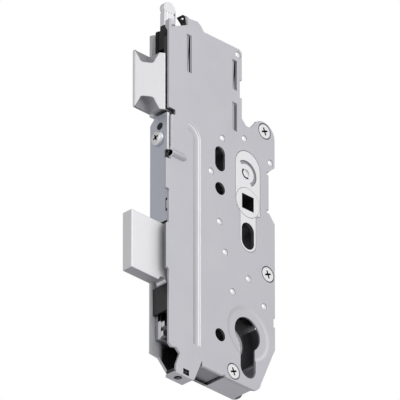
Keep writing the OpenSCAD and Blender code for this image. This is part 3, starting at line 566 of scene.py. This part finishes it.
# Gear train, rack and cam lever. Sintered steel, oiled, each gear on its own axle and
# the rack riveted to the drive slider.
SINTERED = (0.10, 0.095, 0.085)
SINTERED_SHEEN = (0.18, 0.17, 0.155)
PORE_GRAINS = 9000
GEAR_EDGE = 0.12 * MM
sintered = Finish("sintered_steel", 1.0, 0.45)
pores = sintered.noise(PORE_GRAINS, 2.0)
sintered.feed("Base Color", sintered.mix(pores, SINTERED, SINTERED_SHEEN))
sintered.feed("Roughness", pores * 0.25 + 0.35)
sintered.grain(pores, 0.4)
for node in ("drive_gear", "key_gear", "slider_gear", "cam_lever"):
    eased(node, node, sintered, GEAR_EDGE, 1)
eased("slider_rack", "slider", sintered, GEAR_EDGE, 1)

# Drive slider, the latch's tail and the angle that the latch spring pushes against.
# Punched steel strip, darker from its oil film and black above a set height at the top.
STRIP = (0.46, 0.47, 0.50)
STRIP_SHADE = (0.30, 0.31, 0.33)
STRIP_TOP_BLACK = (0.03, 0.03, 0.033)
STRIP_BLACK_FROM = 64 * MM
STRIP_STREAKS = 2200
STRIP_CLOUDS = 90
STRIP_ROLLED = (1, 1, 0.05)
strip = Finish("oiled_strip", 1.0, 0.4)
streaks = strip.noise(STRIP_STREAKS, 2.0, STRIP_ROLLED)
clouds = strip.noise(STRIP_CLOUDS)
strip_tone = strip.mix(clouds * 0.6 + streaks * 0.4, STRIP, STRIP_SHADE)
strip.feed("Base Color", strip.mix(strip.axes()[2].above(STRIP_BLACK_FROM), strip_tone, STRIP_TOP_BLACK))
strip.feed("Roughness", streaks * 0.15 + 0.32)
strip.grain(streaks, 0.2)
wear(strip, "drive_slider", "spring_bracket", "latch_tail")
wear(turned_steel, "rack_rivets", "connector_rivets", "latch_rivets", "spring_rod", "deadbolt_pin")

# Springs. Hard drawn wire, oiled: the latch spring on its rod, with closed ends, and
# the leg spring round the follower, which rests under a distance pin.
LATCH_WIRE = 0.45 * MM
LATCH_COIL = 2.95 * MM
LATCH_SPRING_START = Vector((-49.35, 0, 52.2)) * MM
LATCH_SPRING_END = -25.9 * MM
LATCH_SPRING_TURNS = 9
CLOSED_TURNS = 1.0
FOLLOWER_WIRE = 0.55 * MM
FOLLOWER_COIL = 8.9 * MM
FOLLOWER_LEG = Vector((-26.5, 4.95, 4.8)) * MM
FOLLOWER_TURNS = 1.25
FOLLOWER_DEPTH = 3.85 * MM
RINGS = 36
WIRE_SIDES = 12
WIRE = (0.22, 0.22, 0.24)
WIRE_SHEEN = (0.34, 0.34, 0.36)

# The short leg that goes down into the hub: degrees past the coil, and drop
FOLLOWER_HOOK = ((5, 0.3 * MM), (8, 1.0 * MM), (9, 2.2 * MM))
wire = Finish("spring_wire", 1.0, 0.3)
drawn = wire.noise(TURNED_GRAINS, 2.0)
wire.feed("Base Color", wire.mix(drawn, WIRE, WIRE_SHEEN))
wire.feed("Roughness", drawn * 0.2 + 0.22)
wire.grain(drawn, 0.15)


def wound(name, points, thickness, node, body):
    """A round wire along the points, with closed ends."""
    pattern = Pattern(name)
    radius = pattern.size("Wire radius", thickness)
    line = pattern.add("GeometryNodeMeshToCurve", {}, {"Mesh": pattern.points()})
    round_section = pattern.add("GeometryNodeCurvePrimitiveCircle", {"mode": "RADIUS"}, {
        "Resolution": WIRE_SIDES, "Radius": radius})
    tube = pattern.add("GeometryNodeCurveToMesh", {}, {
        "Curve": line[0], "Profile Curve": round_section["Curve"], "Fill Caps": True})
    pattern.close(tube["Mesh"], wire)
    links = [(k, k + 1) for k in range(len(points) - 1)]
    return settle(pattern.make(name, points, links), body, "spring_steel", node)


coil = []
free = LATCH_SPRING_END - LATCH_SPRING_START.x - 4 * LATCH_WIRE * CLOSED_TURNS
for step in range(RINGS * LATCH_SPRING_TURNS + 1):
    turn = step / RINGS
    spread = (turn - CLOSED_TURNS) / (LATCH_SPRING_TURNS - 2 * CLOSED_TURNS)
    closed = min(turn, CLOSED_TURNS) + max(0, turn - LATCH_SPRING_TURNS + CLOSED_TURNS)
    along = 2 * LATCH_WIRE * closed + free * min(1, max(0, spread))
    angle = 2 * math.pi * turn
    offset = Vector((along, LATCH_COIL * math.cos(angle), LATCH_COIL * math.sin(angle)))
    coil.append(LATCH_SPRING_START + offset)
latch_spring = wound("latch_spring_wound", coil, LATCH_WIRE, "latch_spring", "case")
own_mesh(latch_spring)

lean = math.acos(FOLLOWER_COIL / math.hypot(FOLLOWER_LEG.x, FOLLOWER_LEG.z))
coil_start = math.atan2(FOLLOWER_LEG.z, FOLLOWER_LEG.x) - lean
coil_end = coil_start - 2 * math.pi * FOLLOWER_TURNS


def on_coil(angle, depth):
    return Vector((FOLLOWER_COIL * math.cos(angle), depth, FOLLOWER_COIL * math.sin(angle)))


winding = [FOLLOWER_LEG.copy()]
steps = int(RINGS * FOLLOWER_TURNS)
for step in range(steps + 1):
    part = step / steps
    depth = FOLLOWER_LEG.y + (FOLLOWER_DEPTH - FOLLOWER_LEG.y) * part
    winding.append(on_coil(coil_start + (coil_end - coil_start) * part, depth))
for degrees, drop in FOLLOWER_HOOK:
    winding.append(on_coil(coil_end - math.radians(degrees), FOLLOWER_DEPTH - drop))
follower_spring = wound("follower_spring_wound", winding, FOLLOWER_WIRE, "follower_spring", None)
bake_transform(follower_spring)

# Latch bolt, deadbolt and rod couplings. Zinc castings, ground and satin nickel plated.
# The scoops of the latch, the underside of the deadbolt and the lower shank of the upper coupling get
# painted shade and are duller.
NICKEL = (0.80, 0.80, 0.815)
NICKEL_SHADE = (0.74, 0.74, 0.76)
SCOOP_SHADE = (0.36, 0.36, 0.38)
UNDER_SHADE = (0.42, 0.42, 0.44)
SATIN_GRAINS = 1800
SATIN_DRAWN = (1, 1, 0.15)
NICKEL_CLOUDS = 80
CAST_GRAINS = 2500
CAST_EDGE = 0.25 * MM
BOLT_EDGE = 0.45 * MM
LOWER_EDGE = 0.15 * MM
COUPLING_FROM = 82 * MM
UNDER_ON = 0.7
NO_MIRROR_SPAN = (-66 * MM, -61 * MM)
LATCH_TIP = -67.8 * MM
LATCH_TOP = 63.0 * MM
LATCH_BOTTOM = 31.4 * MM
SCOOP_DEEP = 7.5 * MM
SCOOP_LONG = 11.5 * MM
NOSE_BACK = 3.2 * MM
SCOOP_SIDE = 4.6 * MM
BEVEL_RUN = 12.8 * MM
BEVEL_RISE = 8.2 * MM
BEVEL_SKIN = 0.4 * MM
TIP_SKIN = 0.3 * MM


def satin_nickel(name, patches=()):
    """Satin nickel plate. Each patch is a mask and its colour, and is duller than the rest."""
    finish = Finish(name, 1.0, 0.34)
    satin = finish.noise(SATIN_GRAINS, 2.0, SATIN_DRAWN)
    cloud = finish.noise(NICKEL_CLOUDS)
    colour = finish.mix(cloud * 0.6 + satin * 0.4, NICKEL, NICKEL_SHADE)
    dull = 0
    for mask, tone in patches:
        part = mask(finish)
        dull = part + dull
        colour = finish.mix(part, colour, tone)
    finish.feed("Base Color", colour)
    if patches:
        finish.feed("Metallic", 1 - dull * 0.5)
    finish.feed("Roughness", satin * 0.1 + cloud * 0.08 + dull * 0.2 + 0.27)
    finish.grain(satin + dull * finish.noise(CAST_GRAINS), 0.15)
    return finish


def scoops(finish):
    """The hollows at the top and bottom of the latch, behind its bevel, which get painted shade."""
    across, depth, up = finish.axes()
    behind = (depth + (across - LATCH_TIP) * (BEVEL_RISE / BEVEL_RUN)).above(NOSE_BACK + BEVEL_SKIN)
    ends = up.above(LATCH_TOP - SCOOP_DEEP) + up.below(LATCH_BOTTOM + SCOOP_DEEP)
    length = across.between(LATCH_TIP + TIP_SKIN, LATCH_TIP + SCOOP_LONG)
    return behind * ends * depth.below(SCOOP_SIDE) * length


# Painted shade on the faces of the deadbolt that look down.
def underside(finish):
    return finish.axes("Normal")[2].below(-UNDER_ON)


def beside_case(finish):
    """Part of the deadbolt's sides next to the case, made duller and less metallic so that it doesn't
    mirror the dark edge of the case and stays evenly bright, as painted light.
    """
    return finish.axes()[0].ramp(*NO_MIRROR_SPAN) * finish.axes("Normal")[1].below(-SQUARE_ON)


# Painted shade, black, on the shank of the upper coupling below the top of the case.
def shaded_shank(finish):
    return finish.axes()[2].below(COUPLING_FROM)


latch_nickel = satin_nickel("nickel_latch", ((scoops, SCOOP_SHADE),))
bolt_nickel = satin_nickel("nickel_deadbolt", ((beside_case, NICKEL), (underside, UNDER_SHADE)))
nickel = satin_nickel("nickel_coupling")
upper_nickel = satin_nickel("nickel_upper_coupling", ((shaded_shank, PAINTED_SHADE),))
eased("latch_bolt", "latch", latch_nickel, CAST_EDGE)
eased("deadbolt", "deadbolt", bolt_nickel, BOLT_EDGE, 3)
eased("top_connector", "slider", upper_nickel, CAST_EDGE)
eased("bottom_connector", "slider", nickel, LOWER_EDGE)

# Cover plate. A pressed sheet with stiffening grooves, a dished field round the
# cylinder hole and a tab that folds under the case; plated like the rear case.
SHEET_EDGE = 0.2 * MM
BEAD_MIDDLE = -35.2 * MM
BEAD_HALF = 2.5 * MM
BEAD_TOP = 21 * MM
BEAD_TURN = 6 * MM
BEAD_BOTTOM = -92.5 * MM
BEAD_FACE = -5.7 * MM
BEAD_LIT = (0.7 * MM, 1.5 * MM)
BEAD_SHADED = (-1.9 * MM, 0.4 * MM)
BEAD_FADE = (-60 * MM, 10 * MM)
SCREW_RIM = 4.4 * MM
DISH_FACE = -6.4 * MM
DISH_LIT = (12.4 * MM, 13.4 * MM, 14.0 * MM, 15.0 * MM)
DISH_LIT_SIDE = (-2 * MM, 11 * MM)
DISH_SHADED = (11.6 * MM, 13.6 * MM, 13.8 * MM, 14.8 * MM)
DISH_SHADED_SIDE = (0, 9 * MM)
CUT_BACK_X = -52.0 * MM
CUT_BACK_Z = (5 * MM, 30 * MM)
WINDOW_X = (-44.8 * MM, -40.2 * MM)
WINDOW_Z = (-111.85 * MM, -108.6 * MM)
STEP_FRONT = -55.5 * MM
STEP_Z = (-57 * MM, -31 * MM)
CHANNEL_X = -51 * MM
CHANNEL_Y = -6.9 * MM
CHANNEL_Z = 7.5 * MM
CHANNEL_HALF = 2 * MM
BEAD_DARK = (0.34, 0.34, 0.36)
BEAD_BRIGHT = (0.80, 0.80, 0.82)
DISH_DARK = (0.40, 0.40, 0.42)
DISH_BRIGHT = (0.72, 0.72, 0.74)
SCREW_DARK = (0.05, 0.05, 0.055)
STEP_DARK = (0.16, 0.16, 0.17)


def bead_across(finish):
    """Distance from the middle of the long bead, also round its turn, and the bead's own mask."""
    across, depth, up = finish.axes()
    turn_x = across - (BEAD_MIDDLE - BEAD_TURN)
    turn_z = up - BEAD_TOP
    in_turn = up.above(BEAD_TOP)
    round_turn = (turn_x * turn_x + turn_z * turn_z).root()
    side = (across - BEAD_MIDDLE) * (1 - in_turn) + (round_turn - BEAD_TURN) * in_turn
    there = up.between(BEAD_BOTTOM, BEAD_TOP + BEAD_TURN + BEAD_HALF) * turn_x.above(0)
    return side, there * side.between(-BEAD_HALF, BEAD_HALF) * depth.below(BEAD_FACE)


def bead_light(finish):
    side, there = bead_across(finish)
    return there * side.ramp(*BEAD_LIT)


def bead_shade(finish):
    """Shade on the front flank of the bead, deeper towards the bottom of the case."""
    side, there = bead_across(finish)
    low = 1 - finish.axes()[2].ramp(*BEAD_FADE)
    return there * (1 - side.ramp(*BEAD_SHADED)) * (low * 0.6 + 0.4)


def about(finish, x, z):
    """X and Z seen from an axis along Y, and the square of the distance to that axis."""
    across, _, up = finish.axes()
    across = across - x
    up = up - z
    return across, up, across * across + up * up


def screw_shadow(finish):
    """Dark line round each countersunk head."""
    ring = 0
    for x, _, z in middles("cover_screws"):
        ring = about(finish, x, z)[2].below(SCREW_RIM ** 2) + ring
    return ring


def dish(finish):
    """X from the axis of the cylinder hole, distance to it, and the mask of the pressed field."""
    across, _, square = about(finish, 0, CYLINDER_Z)
    return across, square.root(), finish.axes()[1].below(DISH_FACE)


def dish_light(finish):
    across, reach, field = dish(finish)
    return reach.band(*DISH_LIT) * across.ramp(*DISH_LIT_SIDE) * field


def dish_shade(finish):
    across, reach, field = dish(finish)
    return reach.band(*DISH_SHADED) * (-across).ramp(*DISH_SHADED_SIDE) * field * 0.7


def cut_back(finish):
    """Front edge of the cover beside the front wall, where it is cut back; it gets a painted highlight
    and is made matte so that it shows lighter.
    """
    across, _, up = finish.axes()
    return across.below(CUT_BACK_X) * up.between(*CUT_BACK_Z) * finish.axes("Normal")[0].below(-SQUARE_ON)


def tab_window(finish):
    """Inside of the window above the lower tab, painted black as shade."""
    across, _, up = finish.axes()
    return across.between(*WINDOW_X) * up.between(*WINDOW_Z) * finish.axes("Normal")[1].above(-HALF_ON)


def step_edge(finish):
    """Front edge of the step beside the deadbolt, in the deadbolt's shade."""
    across, _, up = finish.axes()
    return across.below(STEP_FRONT) * up.between(*STEP_Z) * finish.axes("Normal")[0].below(-SQUARE_ON)


def channel_mouth(finish):
    """Open end of the half-round screw channel, painted black as shade."""
    across, depth, up = finish.axes()
    height = up.between(CHANNEL_Z - CHANNEL_HALF, CHANNEL_Z + CHANNEL_HALF)
    return across.below(CHANNEL_X) * depth.above(CHANNEL_Y) * height


# The patches of the cover are painted light and shade: on the flanks of the long bead and of the dished
# field, round the screw heads, on the cut-back front edge, in the window over the tab, on the step beside
# the deadbolt and in the mouth of the screw channel.
cover_zinc = rolled_zinc("zinc_cover", (
    (bead_shade, BEAD_DARK), (bead_light, BEAD_BRIGHT), (dish_shade, DISH_DARK),
    (dish_light, DISH_BRIGHT), (screw_shadow, SCREW_DARK), (cut_back, EDGE_HIGHLIGHT),
    (tab_window, PAINTED_SHADE), (step_edge, STEP_DARK), (channel_mouth, PAINTED_SHADE)), cut_back)
eased("cover_plate", "case", cover_zinc, SHEET_EDGE)

# Insert and follower. The bright cast insert snaps into the cover plate, and the
# follower with its 8 mm square turns in it; the square is painted dark as shade.
SQUARE_HALF = 4.07 * MM
INSERT_PIN = Vector((-1, 0, 16)) * MM
INSERT_EDGE = 0.18 * MM
RIM_ON = (-0.93, 0.5)
RIM_FROM = 3.2 * MM
CRESCENT_TO = 3.1 * MM
CRESCENT_LEAN = 0.8
CRESCENT_SIDE = -0.4 * MM
ARC_INNER = 5.1 * MM
ARC_OUTER = 7 * MM
ARC_FLOOR = -6.9 * MM
RIM_SHADE = (0.10, 0.10, 0.11)
ARC_SHADE = (0.38, 0.38, 0.40)


# Painted shade, black, in the square of the follower.
def square_hole(finish):
    across, _, up = finish.axes()
    return across.between(-SQUARE_HALF, SQUARE_HALF) * up.between(-SQUARE_HALF, SQUARE_HALF)


def round_pin(finish):
    return about(finish, INSERT_PIN.x, INSERT_PIN.z)


# Painted shade on the rounded edges of the insert, a dark outline against the cover.
def insert_rim(finish):
    return finish.axes("Normal")[1].between(*RIM_ON) * round_pin(finish)[2].above(RIM_FROM ** 2)


# Painted shadow: a dark crescent beside the pin, on its front and lower side.
def pin_crescent(finish):
    across, up, square = round_pin(finish)
    return square.below(CRESCENT_TO ** 2) * (across + up * CRESCENT_LEAN).below(CRESCENT_SIDE)


def insert_arc(finish):
    """The arc groove round the pin, with painted shade in it."""
    ring = round_pin(finish)[2].between(ARC_INNER ** 2, ARC_OUTER ** 2)
    return ring * finish.axes()[1].above(ARC_FLOOR)


follower_nickel = satin_nickel("nickel_follower", ((square_hole, PAINTED_SHADE),))
insert_nickel = satin_nickel("nickel_insert", (
    (insert_rim, RIM_SHADE), (insert_arc, ARC_SHADE), (pin_crescent, PAINTED_SHADE)))
eased("follower_insert", "case", insert_nickel, INSERT_EDGE)
eased("follower", "follower", follower_nickel, INSERT_EDGE)
wear(turned_steel, "insert_pin")

# Screws. Three countersunk cross-head screws close the cover, and a pan-head one holds
# the plastic block behind the front wall. Steel, bright zinc, dark inside the recess.
COVER_CROSS = 2.1 * MM
FRONT_CROSS = 1.7 * MM
CROSS_WIDTH = 0.95 * MM
CROSS_DEPTH = 1.3 * MM
CROSS_TURN = math.radians(22)
QUARTER = math.radians(90)
AGAINST_Y = (QUARTER, 0, 0)
AGAINST_X = (0, -QUARTER, 0)
COVER_FACE = -7.1 * MM
RECESS_SHEEN = (0.06, 0.06, 0.065)

# The recess has painted shade from just under its rim to just past its floor
RECESS_REACH = 1.02
RECESS_RIM = 0.03 * MM
RECESS_FLOOR = CROSS_DEPTH + 0.05 * MM

# Radius and height of the screws in millimetres, from the tip to the top of the head
COVER_SCREW = ((1.6, -8.0), (1.98, -7.6), (1.98, -1.5), (3.75, -0.2), (3.8, -0.12), (3.7, 0))
FRONT_SCREW = ((1.5, -7.0), (1.94, -6.5), (1.94, 0), (3.6, 0.01), (3.75, 0.15), (3.75, 1.2),
               (3.55, 1.65), (3.1, 2.0), (2.4, 2.25))
recess_dark = Finish("oiled_recess", 1.0, 0.5)
film = recess_dark.noise(TURNED_GRAINS, 2.0)
recess_dark.feed("Base Color", recess_dark.mix(film, PAINTED_SHADE, RECESS_SHEEN))


def cross_screw(name, arm, outline, places, aim, *nodes):
    """Screws with a cross recess, its arms as long as arm, turned to an outline."""
    screw = Pattern(name)
    stations = []
    for number, (radius, height) in enumerate(outline):
        stations.append((
            screw.size("Radius %d" % number, radius * MM), screw.size("Height %d" % number, height * MM)))
    solid = screw.turned(stations)
    reach = screw.size("Recess reach", arm)
    width = screw.size("Recess width", CROSS_WIDTH)
    depth = screw.size("Recess depth", CROSS_DEPTH)
    for turn in (CROSS_TURN, CROSS_TURN + QUARTER):
        block = screw.add("ShaderNodeCombineXYZ", {}, {"X": reach * 2, "Y": width, "Z": depth * 2})
        bar = screw.add("GeometryNodeMeshCube", {}, {"Size": block["Vector"]})["Mesh"]
        bar = screw.lift(bar, stations[-1][1])
        bar = screw.add("GeometryNodeTransform", {}, {"Geometry": bar, "Rotation": (0, 0, turn)})
        solid = screw.add("GeometryNodeMeshBoolean", {"operation": "DIFFERENCE", "solver": "EXACT"}, {
            "Mesh 1": solid, "Mesh 2": bar["Geometry"]})["Mesh"]
    spot = screw.add("GeometryNodeInputPosition", {}, {})["Position"]
    at = screw.add("ShaderNodeSeparateXYZ", {}, {"Vector": spot})
    inside = (at["X"] * at["X"] + at["Y"] * at["Y"]).below((arm * RECESS_REACH) ** 2)
    under = stations[-1][1] - at["Z"]
    marked = screw.add("GeometryNodeStoreNamedAttribute", {"data_type": "FLOAT", "domain": "FACE"}, {
        "Geometry": solid, "Name": "recess", "Value": inside * under.between(RECESS_RIM, RECESS_FLOOR)})
    placed = screw.at_points(marked["Geometry"], aim)
    real = screw.add("GeometryNodeRealizeInstances", {}, {"Geometry": placed})["Geometry"]
    bright = screw.add("GeometryNodeSetMaterial", {}, {
        "Geometry": real, "Material": turned_steel.material})
    mark = screw.add("GeometryNodeInputNamedAttribute", {"data_type": "FLOAT"}, {"Name": "recess"})[0]
    dressed = screw.add("GeometryNodeSetMaterial", {}, {
        "Geometry": bright["Geometry"], "Selection": mark.above(0.5), "Material": recess_dark.material})
    screw.send(dressed["Geometry"])
    return settle(screw.make(name, places), "case", "screw_steel", *nodes)


cover_places = middles("cover_screws", COVER_FACE)
cross_screw("cover_screws_made", COVER_CROSS, COVER_SCREW, cover_places, AGAINST_Y, "cover_screws")
low, high = solids("front_screw")[0]
front_places = [(CASE_FRONT, (low.y + high.y) / 2, (low.z + high.z) / 2)]
cross_screw("front_screw_made", FRONT_CROSS, FRONT_SCREW, front_places, AGAINST_X, "front_screw")

# Studio. The lock hangs in front of white, over a pale floor, in a room that is brighter
# on the side of the cover, with a large soft lamp there and a weaker one at the front.
LAMP_AIM = (-0.02, 0, 0)
ROOM_DIM = 0.57
ROOM_GAIN = 0.33
ROOM_SIDE = (-0.5, 0.35)
LOW_LOSS = 0.35
ROOM_UP = (-0.6, 0.2)
FLOOR_DROP = 60 * MM
FLOOR_HALF = 2
FLOOR_TONE = (0.80, 0.80, 0.81, 1)
scene = bpy.context.scene
scene.view_settings.view_transform = "Standard"


def light(name, place, target, size, power):
    lamp = bpy.data.lights.new(name, "AREA")
    lamp.shape = "DISK"
    lamp.size = size
    lamp.energy = power
    holder = bpy.data.objects.new(name, lamp)
    holder.location = place
    holder.rotation_euler = (Vector(target) - Vector(place)).to_track_quat("-Z", "Y").to_euler()
    scene.collection.objects.link(holder)


light("key", (0.15, -0.9, 0.45), LAMP_AIM, 0.7, 1.3)
light("edge", (-0.9, 0.1, 0.3), LAMP_AIM, 0.5, 0.4)

world = bpy.data.worlds.new("white_room")
scene.world = world
world.use_nodes = True
room = Graph(world.node_tree)
rays = room.add("ShaderNodeLightPath", {}, {})
towards = room.add("ShaderNodeTexCoord", {}, {})["Generated"]
parts = room.add("ShaderNodeSeparateXYZ", {}, {"Vector": towards})
lit = (-parts["Y"]).ramp(*ROOM_SIDE) * ROOM_GAIN + ROOM_DIM
lit = lit * (parts["Z"].ramp(*ROOM_UP) * LOW_LOSS + (1 - LOW_LOSS))
strength = rays["Is Camera Ray"] * (1 - lit) + lit
backdrop = room.tree.nodes["Background"]
backdrop.inputs["Color"].default_value = (1, 1, 1, 1)
room.tree.links.new(strength.out, backdrop.inputs["Strength"])

floor_z = cad_box[0][2] - FLOOR_DROP
floor_mesh = bpy.data.meshes.new("floor")
floor_sides = ((-1, -1), (1, -1), (1, 1), (-1, 1))
floor_corners = [(x * FLOOR_HALF, y * FLOOR_HALF, floor_z) for x, y in floor_sides]
floor_mesh.from_pydata(floor_corners, [], [(0, 1, 2, 3)])
floor = bpy.data.objects.new("floor", floor_mesh)
scene.collection.objects.link(floor)
pale = Finish("pale_floor", 0.0, 0.8)
pale.shader.inputs["Base Color"].default_value = FLOOR_TONE
clear = pale.add("ShaderNodeBsdfTransparent", {}, {})[0]
facing = pale.add("ShaderNodeNewGeometry", {}, {})["Backfacing"]
painted = Socket(pale, pale.shader.outputs[0])
sheet = pale.add("ShaderNodeMixShader", {}, {0: facing, 1: painted, 2: clear})[0]
pale.tree.links.new(sheet.out, pale.tree.nodes["Material Output"].inputs["Surface"])
floor_mesh.materials.append(pale.material)

VIEW_AZIMUTH = math.radians(-45)
VIEW_ELEVATION = math.radians(-29)
VIEW_CENTRE = Vector((-26.07, 0, -5.93)) * MM
VIEW_WIDTH = 194.9 * MM
LENS = 1400
SENSOR = 36
CLIP_END = 20
distance = VIEW_WIDTH * LENS / SENSOR
look = Vector((-math.sin(VIEW_AZIMUTH) * math.cos(VIEW_ELEVATION),
               math.cos(VIEW_AZIMUTH) * math.cos(VIEW_ELEVATION), -math.sin(VIEW_ELEVATION)))
camera_data = bpy.data.cameras.new("camera")
camera_data.lens = LENS
camera_data.sensor_width = SENSOR
camera_data.clip_end = CLIP_END
camera = bpy.data.objects.new("camera", camera_data)
camera.location = VIEW_CENTRE - look * distance
camera.rotation_euler = look.to_track_quat("-Z", "Y").to_euler()
scene.collection.objects.link(camera)
scene.camera = camera
